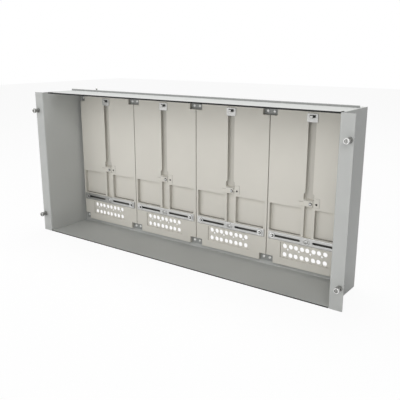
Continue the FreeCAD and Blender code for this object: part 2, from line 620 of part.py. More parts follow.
def hanger_guide():
    """Guide behind the clip: a neck in the groove's mouth and a wider foot in its undercut."""
    low = CLIP_Z - GUIDE_HEIGHT / 2
    high = CLIP_Z + GUIDE_HEIGHT / 2
    neck = GROOVE_WIDTH / 2 - SLIDE_GAP
    foot = GROOVE_CAVITY / 2 - SLIDE_GAP
    foot_front = BOARD_FRONT + GROOVE_LIP + SLIDE_GAP
    foot_back = BOARD_FRONT + GROOVE_DEPTH - SLIDE_GAP
    return fused([box(-neck, neck, CLIP_BACK, foot_front, low, high),
                  box(-foot, foot, foot_front, foot_back, low, high)])


# Latch block

def latch_block():
    """Moulded block under the groove: an arm at its left, a thin lug with a sealing hole at its right."""
    low = LATCH_BOTTOM
    arm_front = BOARD_FRONT - LATCH_ARM_THICK
    tab_front = BOARD_FRONT - LATCH_TAB_THICK
    body = box(-LATCH_HALF_WIDTH, LATCH_HALF_WIDTH, LATCH_FRONT, BOARD_FRONT, low, low + LATCH_HEIGHT)
    arm = box(-LATCH_ARM_END, -LATCH_HALF_WIDTH, arm_front, BOARD_FRONT, low, low + LATCH_ARM_HEIGHT)
    tab = box(LATCH_HALF_WIDTH, LATCH_TAB_END, tab_front, BOARD_FRONT, low, low + LATCH_HEIGHT)
    lug = box(LATCH_LUG_START, LATCH_TAB_END, tab_front, BOARD_FRONT, low, low + LATCH_LUG_HEIGHT)
    block = fused([body, arm, tab, lug])
    block = block.cut(rod(LATCH_SCREW_X, LATCH_SCREW_Z, LATCH_SCREW_RADIUS + SCREW_GAP, LATCH_FRONT - PAST,
                          BOARD_FRONT + PAST))
    return block.cut(rod(SEAL_HOLE_X, LATCH_SCREW_Z, SEAL_HOLE_RADIUS, LATCH_FRONT - PAST,
                         BOARD_FRONT + PAST))


def latch_screw():
    return pan_screw(LATCH_SCREW_X, LATCH_SCREW_Z, LATCH_FRONT, LATCH_SCREW_HEAD_RADIUS, LATCH_SCREW_HEAD,
                     LATCH_SCREW_RADIUS, LATCH_FRONT + LATCH_SCREW_LENGTH)


def centre_screw():
    return pan_screw(0, RAIL_Z, RAIL_FRONT, CENTRE_SCREW_HEAD_RADIUS, CENTRE_SCREW_HEAD,
                     CENTRE_SCREW_RADIUS, RAIL_FRONT + CENTRE_SCREW_LENGTH)


def on_every_board(shape):
    return Part.makeCompound([moved(shape, x=centre) for centre in BOARD_CENTRES])


def assembly():
    """Every piece under its own name."""
    right = side_panel()
    pieces = {
        "left_side_panel": mirrored(right),
        "right_side_panel": right,
        "top_plate": top_plate(),
        "bottom_plate": bottom_plate(),
        "edge_seals": edge_seals(),
        "earth_stud": earth_stud(),
        "board_clamps": board_clamps(),
        "board_screws": board_screws(),
        "rail_centre_screws": on_every_board(centre_screw()),
        "latch_screws": on_every_board(latch_screw()),
    }
    per_board = {"meter_board": meter_board(), "cable_entry_plate": cable_entry_plate(),
                 "meter_rail": meter_rail(), "latch_block": latch_block(), "hanger_clip": hanger_clip(),
                 "hanger_guide": hanger_guide()}
    for number, centre in enumerate(BOARD_CENTRES, start=1):
        for name, shape in per_board.items():
            pieces[f"{name}_{number}"] = moved(shape, x=centre)
        for side, sign in SIDES.items():
            park = centre + sign * RAIL_SCREW_PARK
            pieces[f"rail_screw_{side}_{number}"] = moved(rail_screw(), x=park)
            pieces[f"rail_nut_{side}_{number}"] = moved(rail_nut(), x=park)
    sleeves = []
    for side, sign in SIDES.items():
        for end, z in CAPTIVE_ENDS.items():
            x = sign * CAPTIVE_X
            pieces[f"captive_screw_{side}_{end}"] = captive_screw(x, z)
            pieces[f"captive_ring_{side}_{end}"] = captive_ring(x, z)
            sleeves.append(captive_sleeve(x, z))
    pieces["captive_sleeves"] = Part.makeCompound(sleeves)
    return pieces


os.makedirs("parts", exist_ok=True)
for node, shape in assembly().items():
    shape.translate(FRAME_SHIFT)
    shape.exportStep(f"parts/{node}.step")
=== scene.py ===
"""Electric meter box: moulded boards, fasteners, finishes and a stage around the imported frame."""

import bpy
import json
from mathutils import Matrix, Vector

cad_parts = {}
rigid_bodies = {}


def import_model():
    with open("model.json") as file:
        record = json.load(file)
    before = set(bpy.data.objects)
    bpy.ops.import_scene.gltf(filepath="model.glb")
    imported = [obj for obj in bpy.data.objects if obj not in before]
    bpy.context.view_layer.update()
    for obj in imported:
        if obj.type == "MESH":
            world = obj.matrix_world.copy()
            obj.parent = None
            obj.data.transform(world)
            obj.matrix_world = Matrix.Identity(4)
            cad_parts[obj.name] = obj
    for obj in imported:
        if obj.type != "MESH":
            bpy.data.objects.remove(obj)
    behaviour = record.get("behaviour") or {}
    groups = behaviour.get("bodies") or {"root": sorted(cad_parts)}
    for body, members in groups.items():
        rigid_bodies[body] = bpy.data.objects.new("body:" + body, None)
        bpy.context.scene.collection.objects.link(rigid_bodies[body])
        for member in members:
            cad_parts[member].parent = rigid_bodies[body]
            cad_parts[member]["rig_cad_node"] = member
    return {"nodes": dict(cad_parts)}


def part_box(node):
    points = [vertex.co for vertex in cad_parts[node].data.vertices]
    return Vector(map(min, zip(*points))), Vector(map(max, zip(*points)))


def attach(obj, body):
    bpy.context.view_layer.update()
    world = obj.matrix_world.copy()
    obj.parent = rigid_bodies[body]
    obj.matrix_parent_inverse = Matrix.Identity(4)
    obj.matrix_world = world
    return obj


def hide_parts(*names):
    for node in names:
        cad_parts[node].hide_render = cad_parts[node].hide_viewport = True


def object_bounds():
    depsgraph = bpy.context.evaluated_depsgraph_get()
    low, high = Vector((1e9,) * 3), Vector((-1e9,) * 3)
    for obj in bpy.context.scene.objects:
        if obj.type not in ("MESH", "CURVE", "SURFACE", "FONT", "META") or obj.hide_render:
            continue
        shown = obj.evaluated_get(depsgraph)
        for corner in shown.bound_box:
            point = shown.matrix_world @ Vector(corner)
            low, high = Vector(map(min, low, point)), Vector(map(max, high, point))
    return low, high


bl_info = {
    "name": "Electric Meter Box",
    "version": (1, 0, 0),
    "blender": (4, 5, 0),
    "location": "View3D > Sidebar > Meter Box",
    "description": "Dresses the frame of a four-board meter box and sets it on a studio stage",
    "category": "Object",
}

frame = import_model()

import json
import math

import bpy
from bpy.props import FloatProperty, FloatVectorProperty, IntProperty, PointerProperty
from mathutils import Vector

CAD_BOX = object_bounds()

BOARDS = range(1, 5)
SIDES = ("left", "right")
ENDS = ("bottom", "top")
CASE = "case"

# How pieces are turned, merged and rounded
BACKWARDS = (-math.pi / 2, 0, 0)              # turns a piece modelled along +Z so that it runs back along +Y
UPRIGHT = (0, 0, 0)
TOOTH_OUTWARDS = (math.pi / 2, math.pi / 2, 0)
FLAT_ANGLE = math.radians(0.5)                # faces within this angle are one flat face
CREASE_ANGLE = math.radians(35)               # edges sharper than this are rounded
FLAT_WEIGHT = 100                             # how strongly large flat faces set the shading at their edges
WELD = 1e-6                                   # corners closer than this are one corner

# Screws, as shares of the size that is named
TURNED_SIDES = 40                             # facets round a turned piece
THREAD_STEPS = 20                             # facets round a thread
TOOTH_SHARE = 0.6                             # height of a thread's tooth, of its pitch
HEAD_CURVE = ((0.45, 0), (0.65, 0.06), (0.85, 0.22),
              (0.96, 0.45), (1, 0.7), (1, 1))   # rings of a pan head, of its radius and height
TIP_LENGTH = 0.4                              # blunt tip of a shank, of its radius
TIP_RADIUS = 0.6                              # end of that tip, of its radius
SLOT_SPAN = 3.0                               # length of the cutter for a slot across a head, of its radius
RAIL_SLOT_SPAN = 1.9                          # the same where a washer sits under the head
WASHER_EDGE = 0.2                             # broken edge of a washer, of its thickness
CAPTIVE_CHAMFER = 0.12                        # chamfer of a captive head, of its radius
HOLLOW_START = 0.6                            # first ring of a captive head's hollow, of the hollow's radius
STUD_FOOT = 2.0                               # plain foot of the stud, of its pitch
GAP = 0.0003                                  # left between a turning piece and its neighbour

# Where another finish begins
FACING = -0.9                                 # a face whose normal has less Y than this looks to the front
SIDEWAYS = 0.7                                # a face whose normal has more X than this looks to a side
UPWARDS = 0.7                                 # a face whose normal has more Z than this looks up
HIGHLIGHT_REACH = 0.0005                         # depth behind a screw's front that gets the painted highlight
TROUGH_SHARE = 0.75                           # part of a rail's height that covers the trough behind it
LEDGE_REACH = 0.004                           # the pockets' ledges lie this close above the rails
FOLD_FOOT = 0.0006                            # the roof's fold is told from the roof this far above it
SEALING_HOLE = (0.0075, 0.00725, 0.0028)      # from a latch block's right end, from its foot, and its radius

# Patterns and stage
NOISE_RANGE = (0.3, 0.7)                      # the part of a noise's range that most of its values fill
LOW_SPECULAR = 0.2                            # for paint and rubber, which shine less than plain plastic
FLOOR_GREY = (0.85, 0.85, 0.85, 1)
FLOOR_SIZE = 14.0
FLOOR_DROP = 0.0005                           # floor below the box's underside
SENSOR = 36.0                                 # camera sensor in millimetres
TOP_LIGHT = ((-0.3, 0.6, 3.0), 1.6)           # place and diameter of each lamp
LEFT_LIGHT = ((-1.4, -2.4, 0.9), 3.0)
RIGHT_LIGHT = ((1.4, -2.0, 1.7), 2.0)


# Sizes and colours that a user would change

def length(name, description, default):
    """A size in metres."""
    return FloatProperty(name=name, description=description, default=default, min=0.0, precision=5,
                         unit="LENGTH", subtype="DISTANCE")


def colour(name, description, default):
    """A linear colour."""
    return FloatVectorProperty(name=name, description=description, default=default, size=3, min=0.0, max=1.0,
                               subtype="COLOR")


class MeterBoxEdges(bpy.types.PropertyGroup):
    """Rounding of the edges, by how each piece is made."""

    sheet: length("Sheet edge", "Rounding on the cut edges of the painted sheet", 0.0003)
    moulded: length("Moulded edge", "Rounding on the moulded boards", 0.0005)
    plate: length("Small moulding edge", "Rounding on entry plates, latch blocks and guides", 0.0004)
    pressed: length("Pressed edge", "Rounding on the zinc-plated rails, clips and nuts", 0.0003)
    turned: length("Turned edge", "Rounding on sleeves and rings", 0.0004)
    seal: length("Seal edge", "Rounding on the rubber strips", 0.0005)
    steps: IntProperty(name="Steps", description="Facets across each rounded edge", default=2, min=1, max=6)


class MeterBoxFasteners(bpy.types.PropertyGroup):
    """Details of the screws and the stud."""

    slot_width: length("Slot width", "Width of the screwdriver slots", 0.0013)
    slot_depth: length("Slot depth", "Depth of the screwdriver slots", 0.0012)
    captive_head: length("Captive head", "Length of a captive screw's head", 0.0055)
    captive_rim: length("Captive rim", "Width of the rim round a captive screw's hollow head", 0.0019)
    captive_hollow: length("Captive hollow", "Depth of the hollow in a captive screw's head", 0.0016)
    captive_slot: length("Captive slot", "Width of the slot in a captive screw's head", 0.0019)
    captive_neck: length("Captive neck", "Radius of a captive screw between head and sleeve", 0.0046)
    captive_waist: length("Captive waist", "Radius of a captive screw in its sleeve", 0.0024)
    captive_thread: length("Captive thread", "Outer radius of a captive screw's thread", 0.003)
    captive_pitch: length("Captive pitch", "Thread pitch of the captive screws", 0.001)
    stud_pitch: length("Stud pitch", "Thread pitch of the earth stud", 0.0008)
    clamp_head: length("Clamp screw head", "Height of a clamp screw's head", 0.0024)
    clamp_shank: length("Clamp screw shank", "Radius of a clamp screw's shank", 0.002)
    rail_head: length("Rail screw head", "Height of a sliding rail screw's head", 0.0034)
    rail_head_radius: length("Rail screw head radius", "Radius of a sliding rail screw's head", 0.0043)
    rail_washer: length("Rail screw washer", "Thickness of the washer under a rail screw's head", 0.001)
    rail_shank: length("Rail screw shank", "Radius of a sliding rail screw's shank", 0.00245)
    middle_head: length("Middle screw head", "Height of the head of a rail's middle screw", 0.0022)
    middle_shank: length("Middle screw shank", "Radius of the shank of a rail's middle screw", 0.002)
    latch_head: length("Latch screw head", "Height of a latch screw's head", 0.0032)
    latch_shank: length("Latch screw shank", "Radius of a latch screw's shank", 0.00175)


class MeterBoxFinishes(bpy.types.PropertyGroup):
    """Colours of the finishes, linear."""

    paint: colour("Paint", "Powder coat of the sheet-steel case", (0.555, 0.565, 0.55))
    # painted shade: darker coat for the clamp plates and the standing fold
    shade_coat: colour("Dull coat", "Darker coat of the clamp plates and the standing fold", (0.34, 0.348, 0.34))
    board: colour("Board", "Moulded plastic of the meter boards", (0.738, 0.713, 0.649))
    # painted shade: darker plastic for the back of the grooves
    track: colour("Track", "Back of the grooves, rubbed by the guides", (0.60, 0.58, 0.525))
    # painted shade: darker plastic for the side walls of the boards' hollows and seams
    wall_shade: colour("Grime", "Moulded plastic of the boards' side walls, grimy", (0.52, 0.502, 0.455))
    # painted shade: darker plastic for the pockets' ledges and the latch blocks' edges
    edge_shade: colour("Dust", "Dust on the pockets' ledges and the latch blocks' edges", (0.30, 0.288, 0.26))
    # painted shade: near-black plastic in the troughs behind the rails and the holes behind the latch lugs
    grease: colour("Grease", "Old grease in the troughs behind the rails", (0.16, 0.157, 0.145))
    zinc: colour("Zinc", "Rolled zinc plate of rails, nuts and stud", (0.54, 0.54, 0.53))
    clip: colour("Clip", "Zinc plate of the bent hanger clips", (0.44, 0.44, 0.43))
    # painted highlight: bright plating for the screws' fronts
    screw_highlight: colour("Polish", "Bright faces of the screws, where drivers rub them", (0.84, 0.84, 0.83))
    # painted shade: near-black plating for the small screws' sides
    screw: colour("Screw", "Dulled plating on the sides of the small screws", (0.13, 0.13, 0.125))
    nickel: colour("Nickel", "Plating of the captive screws and their sleeves", (0.34, 0.34, 0.33))
    rubber: colour("Rubber", "Black strips on the front edges", (0.02, 0.02, 0.02))
    guide: colour("Guide", "Dark plastic of the hanger guides", (0.04, 0.04, 0.04))


class MeterBoxStage(bpy.types.PropertyGroup):
    """Camera, floor and light."""

    eye: FloatVectorProperty(name="Camera place", description="Where the camera stands", size=3,
                             default=(0.879, -1.111, 0.534), unit="LENGTH", subtype="TRANSLATION")
    azimuth: FloatProperty(name="Azimuth", description="Turn of the camera to the right of the open front",
                           default=math.radians(36.27), subtype="ANGLE")
    elevation: FloatProperty(name="Elevation", description="How far the camera looks down",
                             default=math.radians(15.0), subtype="ANGLE")
    lens: FloatProperty(name="Focal length", description="Focal length for a 36 mm sensor",
                        default=50.44, min=1.0, unit="CAMERA")
    ambient: FloatProperty(name="Ambient", description="Level of the even white light all round",
                           default=0.1, min=0.0)
    top_power: FloatProperty(name="Top light", description="Power of the soft light above",
                             default=67.0, min=0.0, unit="POWER")
    left_power: FloatProperty(name="Left light", description="Power of the wide light in front on the left",
                              default=31.0, min=0.0, unit="POWER")
    right_power: FloatProperty(name="Right light", description="Power of the high light on the right",
                               default=25.0, min=0.0, unit="POWER")
    floor_white: FloatProperty(name="Floor whiteness", description="Share of the floor that takes no shadow",
                               default=0.94, min=0.0, max=1.0, subtype="FACTOR")


class MeterBoxSettings(bpy.types.PropertyGroup):
    """All settings of the meter box."""

    edges: PointerProperty(name="Edges", description="Rounding of the edges", type=MeterBoxEdges)
    fasteners: PointerProperty(name="Fasteners", description="Details of the screws", type=MeterBoxFasteners)
    finishes: PointerProperty(name="Finishes", description="Colours of the finishes", type=MeterBoxFinishes)
    stage: PointerProperty(name="Stage", description="Camera, floor and light", type=MeterBoxStage)


def settings():
    """All settings of the scene's meter box."""
    return bpy.context.scene.meter_box


# Selecting and shaping

def deselect():
    """Leave edit mode and select nothing."""
    if bpy.context.mode != "OBJECT":
        bpy.ops.object.mode_set(mode="OBJECT")
    bpy.ops.object.select_all(action="DESELECT")


def activate(piece):
    """Select one piece alone and make it the active one."""
    deselect()
    piece.select_set(True)
    bpy.context.view_layer.objects.active = piece


def apply_modifier(piece, kind, **values):
    """Add a modifier to a piece, set it and apply it."""
    activate(piece)
    bpy.ops.object.modifier_add(type=kind)
    modifier = piece.modifiers[-1]
    for name, value in values.items():
        setattr(modifier, name, value)
    bpy.ops.object.modifier_apply(modifier=modifier.name)


def smooth(piece):
    """Shade a piece smooth, apart from its creases."""
    activate(piece)
    bpy.ops.object.shade_smooth_by_angle(angle=CREASE_ANGLE)


def plain_copy(node):
    """A copy of a frame node with its loose triangles merged, and paired where they are flat."""
    activate(frame["nodes"][node])
    bpy.ops.object.duplicate()
    piece = bpy.context.active_object
    del piece["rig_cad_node"]
    piece.parent = None
    bpy.ops.object.mode_set(mode="EDIT")
    bpy.ops.mesh.select_all(action="SELECT")
    bpy.ops.mesh.remove_doubles(threshold=WELD)
    bpy.ops.mesh.customdata_custom_splitnormals_clear()
    bpy.ops.mesh.tris_convert_to_quads(face_threshold=FLAT_ANGLE, shape_threshold=math.pi)
    bpy.ops.object.mode_set(mode="OBJECT")
    return piece


def softened(node, rounding):
    """A copy of a frame node with its sharp edges rounded and its flat faces kept flat."""
    low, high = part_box(node)
    piece = plain_copy(node)
    apply_modifier(piece, "BEVEL", width=rounding, segments=settings().edges.steps, limit_method="ANGLE",
                   angle_limit=CREASE_ANGLE, use_clamp_overlap=False, loop_slide=False)
    for corner in piece.data.vertices:
        corner.co = [min(max(value, least), most) for value, least, most in zip(corner.co, low, high)]
    smooth(piece)
    apply_modifier(piece, "WEIGHTED_NORMAL", weight=FLAT_WEIGHT, keep_sharp=True)
    return piece


def turned(profile):
    """A turned piece along +Z: a disc drawn out ring after ring through (radius, distance along the axis)."""
    deselect()
    radius_from, along_from = profile[0]
    bpy.ops.mesh.primitive_circle_add(vertices=TURNED_SIDES, radius=radius_from, fill_type="NGON",
                                      location=(0, 0, along_from))
    piece = bpy.context.active_object
    bpy.ops.object.transform_apply(location=True, rotation=True, scale=True)
    bpy.ops.object.mode_set(mode="EDIT")
    for radius, along in profile[1:]:
        bpy.ops.mesh.extrude_region_move(TRANSFORM_OT_translate={"value": (0, 0, along - along_from)})
        growth = radius / radius_from
        bpy.ops.transform.resize(value=(growth, growth, 1), center_override=(0, 0, along))
        radius_from, along_from = radius, along
    bpy.ops.mesh.select_all(action="SELECT")
    bpy.ops.mesh.normals_make_consistent(inside=False)
    bpy.ops.object.mode_set(mode="OBJECT")
    return piece


def cut_slot(piece, width, reach, front=0.0):
    """Cut a screwdriver slot into the front of a turned piece, upright once the piece faces the front."""
    deselect()
    bpy.ops.mesh.primitive_cube_add(size=1, location=(0, 0, front),
                                    scale=(width, reach, 2 * settings().fasteners.slot_depth))
    cutter = bpy.context.active_object
    apply_modifier(piece, "BOOLEAN", operation="DIFFERENCE", solver="EXACT", object=cutter)
    bpy.data.objects.remove(cutter)


def thread(radius, pitch, start, reach):
    """A threaded rod along +Z: a pointed tooth wound up round the axis, with closed ends."""
    tooth = TOOTH_SHARE * pitch
    corner = pitch / math.sqrt(3)             # middle to corner of a triangle with the pitch as its sides
    height = 1.5 * corner
    deselect()
    bpy.ops.mesh.primitive_circle_add(vertices=3, radius=corner, rotation=TOOTH_OUTWARDS,
                                      location=(radius - corner, 0, start + pitch / 2))
    rod = bpy.context.active_object
    bpy.ops.object.transform_apply(location=True, rotation=True, scale=True)
    bpy.ops.object.mode_set(mode="EDIT")
    bpy.ops.transform.resize(value=(tooth / height, 1, 1), center_override=(radius, 0, start))
    bpy.ops.mesh.select_mode(type="EDGE")
    bpy.ops.mesh.select_all(action="DESELECT")
    bpy.ops.object.mode_set(mode="OBJECT")
    for edge in rod.data.edges:
        edge.select = all(rod.data.vertices[end].co.x < radius - tooth / 2 for end in edge.vertices)
    bpy.ops.object.mode_set(mode="EDIT")
    bpy.ops.mesh.delete(type="EDGE")
    bpy.ops.object.mode_set(mode="OBJECT")
    apply_modifier(rod, "SCREW", axis="Z", angle=2 * math.pi, screw_offset=pitch,
                   iterations=int(reach / pitch) - 1, steps=THREAD_STEPS, render_steps=THREAD_STEPS)
    bpy.ops.object.mode_set(mode="EDIT")
    bpy.ops.mesh.select_mode(type="VERT")
    bpy.ops.mesh.select_all(action="SELECT")
    bpy.ops.mesh.remove_doubles(threshold=WELD)
    bpy.ops.mesh.fill_holes(sides=0)
    bpy.ops.mesh.select_all(action="SELECT")
    bpy.ops.mesh.normals_make_consistent(inside=False)
    bpy.ops.object.mode_set(mode="OBJECT")
    return rod


def joined(pieces):
    """Several pieces as one object."""
    activate(pieces[0])
    for piece in pieces[1:]:
        piece.select_set(True)
    bpy.ops.object.join()
    return pieces[0]


def copy_at(piece, place, turn=BACKWARDS):
    """A copy of a modelled piece with a mesh of its own, turned and moved to its place."""
    activate(piece)
    bpy.ops.object.duplicate()
    copy = bpy.context.active_object
    copy.rotation_euler = turn
    copy.location = place
    bpy.ops.object.transform_apply(location=True, rotation=True, scale=True)
    return copy


def front_of(box):
    """Middle of the front of a box."""
    low, high = box
    return Vector(((low.x + high.x) / 2, low.y, (low.z + high.z) / 2))


def solids(node):
    """Boxes of a node's separate solids, as pairs of corners."""
    plain_copy(node)
    bpy.ops.object.mode_set(mode="EDIT")
    bpy.ops.mesh.select_all(action="SELECT")
    bpy.ops.mesh.separate(type="LOOSE")
    bpy.ops.object.mode_set(mode="OBJECT")
    boxes = []
    for part in list(bpy.context.selected_objects):
        corners = [Vector(corner) for corner in part.bound_box]
        boxes.append((Vector(map(min, *corners)), Vector(map(max, *corners))))
        bpy.data.objects.remove(part)
    return boxes


def pan_head(radius, height):
    """Profile of a pan head, from the middle of its front to its underside."""
    return [(across * radius, along * height) for across, along in HEAD_CURVE]


def shank(radius, start, end):
    """Profile of a plain shank with a blunt tip."""
    return [(radius, start), (radius, end - TIP_LENGTH * radius), (TIP_RADIUS * radius, end)]


def pan_screws(node, head, shank_radius):
    """One slotted pan-head screw for each solid of a node, as one object."""
    boxes = solids(node)
    low, high = boxes[0]
    radius = (high.x - low.x) / 2
    screw = turned(pan_head(radius, head) + shank(shank_radius, head, high.y - low.y))
    cut_slot(screw, settings().fasteners.slot_width, SLOT_SPAN * radius)
    screws = joined([copy_at(screw, front_of(box)) for box in boxes])
    bpy.data.objects.remove(screw)
    smooth(screws)
    return screws


def seat(piece, name, body, material, node):
    """Name a finished piece, give it its finish and let it stand for a frame node on a body."""
    piece.name = name
    piece.data.name = name
    piece.data.materials.clear()
    piece.data.materials.append(material)
    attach(piece, body)
    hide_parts(node)


def refinish(piece, material, wanted):
    """Give another finish to the faces of a seated piece that a test picks."""
    if material.name not in piece.data.materials:
        piece.data.materials.append(material)
    index = piece.data.materials.find(material.name)
    for face in piece.data.polygons:
        if wanted(face):
            face.material_index = index


def highlight_front(piece, reach=HIGHLIGHT_REACH):
    """Give the painted highlight to the faces of a seated screw that look to the front and lie near its own
    front.
    """
    front = min(corner.co.y for corner in piece.data.vertices)
    refinish(piece, polished_plate(),
             lambda face: face.normal.y < FACING and face.center.y < front + reach)


# Finishes

class Finish:
    """A material with a Principled shader and the few nodes that its pattern needs."""

    def __init__(self, name, tint, metallic=0.0):
        self.tint = tuple(tint)
        self.material = bpy.data.materials.new(name)
        self.material.use_nodes = True
        self.material.diffuse_color = (*self.tint, 1.0)
        self.tree = self.material.node_tree
        self.shader = self.tree.nodes["Principled BSDF"]
        self.shader.inputs["Base Color"].default_value = (*self.tint, 1.0)
        self.shader.inputs["Metallic"].default_value = metallic
        self.place = self.tree.nodes.new("ShaderNodeTexCoord").outputs["Object"]

    def noise(self, scale, stretch=(1, 1, 1), detail=2.0):
        """Noise on the object's own coordinates, in cells per metre."""
        mapping = self.tree.nodes.new("ShaderNodeMapping")
        mapping.inputs["Scale"].default_value = stretch
        self.tree.links.new(self.place, mapping.inputs["Vector"])
        noise = self.tree.nodes.new("ShaderNodeTexNoise")
        noise.inputs["Scale"].default_value = scale
        noise.inputs["Detail"].default_value = detail
        self.tree.links.new(mapping.outputs["Vector"], noise.inputs["Vector"])
        return noise.outputs["Fac"]

    def tones(self, pattern, share):
        """The base colour, lighter and darker by a share of itself."""
        ramp = self.tree.nodes.new("ShaderNodeValToRGB")
        for element, position, factor in zip(ramp.color_ramp.elements, NOISE_RANGE, (1 - share, 1 + share)):
            element.position = position
            element.color = (*[min(1, value * factor) for value in self.tint], 1)
        self.tree.links.new(pattern, ramp.inputs["Fac"])
        self.tree.links.new(ramp.outputs["Color"], self.shader.inputs["Base Color"])

    def gloss(self, pattern, low, high):
        """Roughness that follows a pattern's middle range from low to high."""
        self.shader.inputs["Roughness"].default_value = (low + high) / 2
        spread = self.tree.nodes.new("ShaderNodeMapRange")
        spread.inputs["From Min"].default_value = NOISE_RANGE[0]
        spread.inputs["From Max"].default_value = NOISE_RANGE[1]
        spread.inputs["To Min"].default_value = low
        spread.inputs["To Max"].default_value = high
        self.tree.links.new(pattern, spread.inputs["Value"])
        self.tree.links.new(spread.outputs["Result"], self.shader.inputs["Roughness"])

    def relief(self, pattern, strength, height):
        """Bump that follows a pattern, with its height in metres."""
        bump = self.tree.nodes.new("ShaderNodeBump")
        bump.inputs["Strength"].default_value = strength
        bump.inputs["Distance"].default_value = height
        self.tree.links.new(pattern, bump.inputs["Height"])
        self.tree.links.new(bump.outputs["Normal"], self.shader.inputs["Normal"])


def finish(name):
    """Mark a function that builds a finish, so that it runs at the first use only."""
    def wrap(build):
        def give():
            return bpy.data.materials.get(name) or build(name)
        return give
    return wrap


@finish("grey_powder_coat")
def powder_coat(name):
    """Light grey powder coat with a fine orange-peel skin."""
    coat = Finish(name, settings().finishes.paint)
    coat.shader.inputs["Specular IOR Level"].default_value = LOW_SPECULAR
    coat.tones(coat.noise(scale=7, detail=3), share=0.02)
    peel = coat.noise(scale=750)
    coat.gloss(peel, low=0.42, high=0.54)
    coat.relief(peel, strength=0.12, height=0.0004)
    return coat.material


@finish("dull_grey_coat")
def shade_coat_paint(name):
    """Grey coat darkened as painted shade, blotched by handling."""
    coat = Finish(name, settings().finishes.shade_coat)
    coat.tones(coat.noise(scale=120, detail=3), share=0.06)
    peel = coat.noise(scale=750)
    coat.gloss(peel, low=0.48, high=0.6)
    coat.relief(peel, strength=0.12, height=0.0004)
    return coat.material


@finish("beige_moulding")
def board_plastic(name):
    """Beige-grey moulded plastic with a fine eroded grain."""
    plastic = Finish(name, settings().finishes.board)
    plastic.tones(plastic.noise(scale=9, detail=3), share=0.02)
    grain = plastic.noise(scale=2200)
    plastic.gloss(grain, low=0.48, high=0.62)
    plastic.relief(grain, strength=0.1, height=0.0002)
    return plastic.material


@finish("rubbed_moulding")
def groove_shade_plastic(name):
    """Moulded plastic darkened as painted shade on the back of the groove, with faint marks along the guides'
    way.
    """
    plastic = Finish(name, settings().finishes.track)
    marks = plastic.noise(scale=40, stretch=(8, 8, 1), detail=3)
    plastic.tones(marks, share=0.03)
    plastic.gloss(marks, low=0.42, high=0.56)
    return plastic.material


@finish("greased_moulding")
def deep_shade_plastic(name):
    """Moulded plastic darkened nearly to black as painted shade, in the troughs behind the rails and the
    holes behind the latch lugs.
    """
    plastic = Finish(name, settings().finishes.grease)
    blotches = plastic.noise(scale=90, stretch=(1, 4, 4), detail=3)
    plastic.tones(blotches, share=0.25)
    plastic.gloss(blotches, low=0.5, high=0.7)
    return plastic.material


@finish("grimy_moulding")
def wall_shade_plastic(name):
    """Moulded plastic darkened as painted shade, for the side walls of hollows and seams."""
    plastic = Finish(name, settings().finishes.wall_shade)
    streaks = plastic.noise(scale=120, stretch=(1, 1, 0.3), detail=3)
    plastic.tones(streaks, share=0.06)
    plastic.gloss(streaks, low=0.62, high=0.78)
    return plastic.material


@finish("dusty_moulding")
def edge_shade_plastic(name):
    """Moulded plastic darkened as painted shade on the pockets' ledges and the latch blocks' edges, with
    flecks.
    """
    plastic = Finish(name, settings().finishes.edge_shade)
    flecks = plastic.noise(scale=300, detail=4)
    plastic.tones(flecks, share=0.15)
    plastic.gloss(flecks, low=0.8, high=0.9)
    return plastic.material


def rolled_plate(name, tint):
    """Zinc plate over rolled steel, with faint lines along the rails."""
    plate = Finish(name, tint, metallic=1.0)
    plate.tones(plate.noise(scale=160, detail=3), share=0.05)
    lines = plate.noise(scale=60, stretch=(1, 30, 30))
    plate.gloss(lines, low=0.33, high=0.48)
    plate.relief(lines, strength=0.06, height=0.0002)
    return plate.material


@finish("rolled_zinc")
def zinc_plate(name):
    """Zinc plate of rails, nuts and stud."""
    return rolled_plate(name, settings().finishes.zinc)


@finish("bent_zinc")
def clip_plate(name):
    """Duller zinc plate of the bent clips."""
    return rolled_plate(name, settings().finishes.clip)


@finish("polished_plate")
def polished_plate(name):
    """Plating brightened as painted highlight on the screws' faces, finely scratched."""
    plate = Finish(name, settings().finishes.screw_highlight, metallic=1.0)
    plate.tones(plate.noise(scale=400, detail=3), share=0.04)
    plate.gloss(plate.noise(scale=900), low=0.44, high=0.56)
    return plate.material


@finish("dulled_screw_plate")
def shaded_screw_plate(name):
    """Plating on the small screws, darkened nearly to black as painted shade on their sides."""
    plate = Finish(name, settings().finishes.screw, metallic=1.0)
    plate.tones(plate.noise(scale=300, detail=3), share=0.12)
    plate.gloss(plate.noise(scale=700), low=0.28, high=0.42)
    return plate.material


@finish("turned_nickel")
def nickel_plate(name):
    """Plated turned steel, with fine tool lines round the axis."""
    plate = Finish(name, settings().finishes.nickel, metallic=1.0)
    plate.tones(plate.noise(scale=240, detail=3), share=0.06)
    lines = plate.noise(scale=50, stretch=(1, 60, 1))
    plate.gloss(lines, low=0.22, high=0.38)
    plate.relief(lines, strength=0.08, height=0.0001)
    return plate.material


@finish("black_rubber")
def black_rubber(name):
    """Dull black rubber."""
    rubber = Finish(name, settings().finishes.rubber)
    rubber.shader.inputs["Specular IOR Level"].default_value = LOW_SPECULAR
    grain = rubber.noise(scale=900)
    rubber.tones(grain, share=0.3)
    rubber.gloss(grain, low=0.6, high=0.8)
    rubber.relief(grain, strength=0.2, height=0.0002)
    return rubber.material


@finish("dark_guide_plastic")
def guide_plastic(name):
    """Dark grey moulded plastic, a little polished by sliding."""
    plastic = Finish(name, settings().finishes.guide)
    plastic.tones(plastic.noise(scale=60), share=0.08)
    grain = plastic.noise(scale=1800)
    plastic.gloss(grain, low=0.42, high=0.58)
    plastic.relief(grain, strength=0.1, height=0.0002)
    return plastic.material


# Pieces

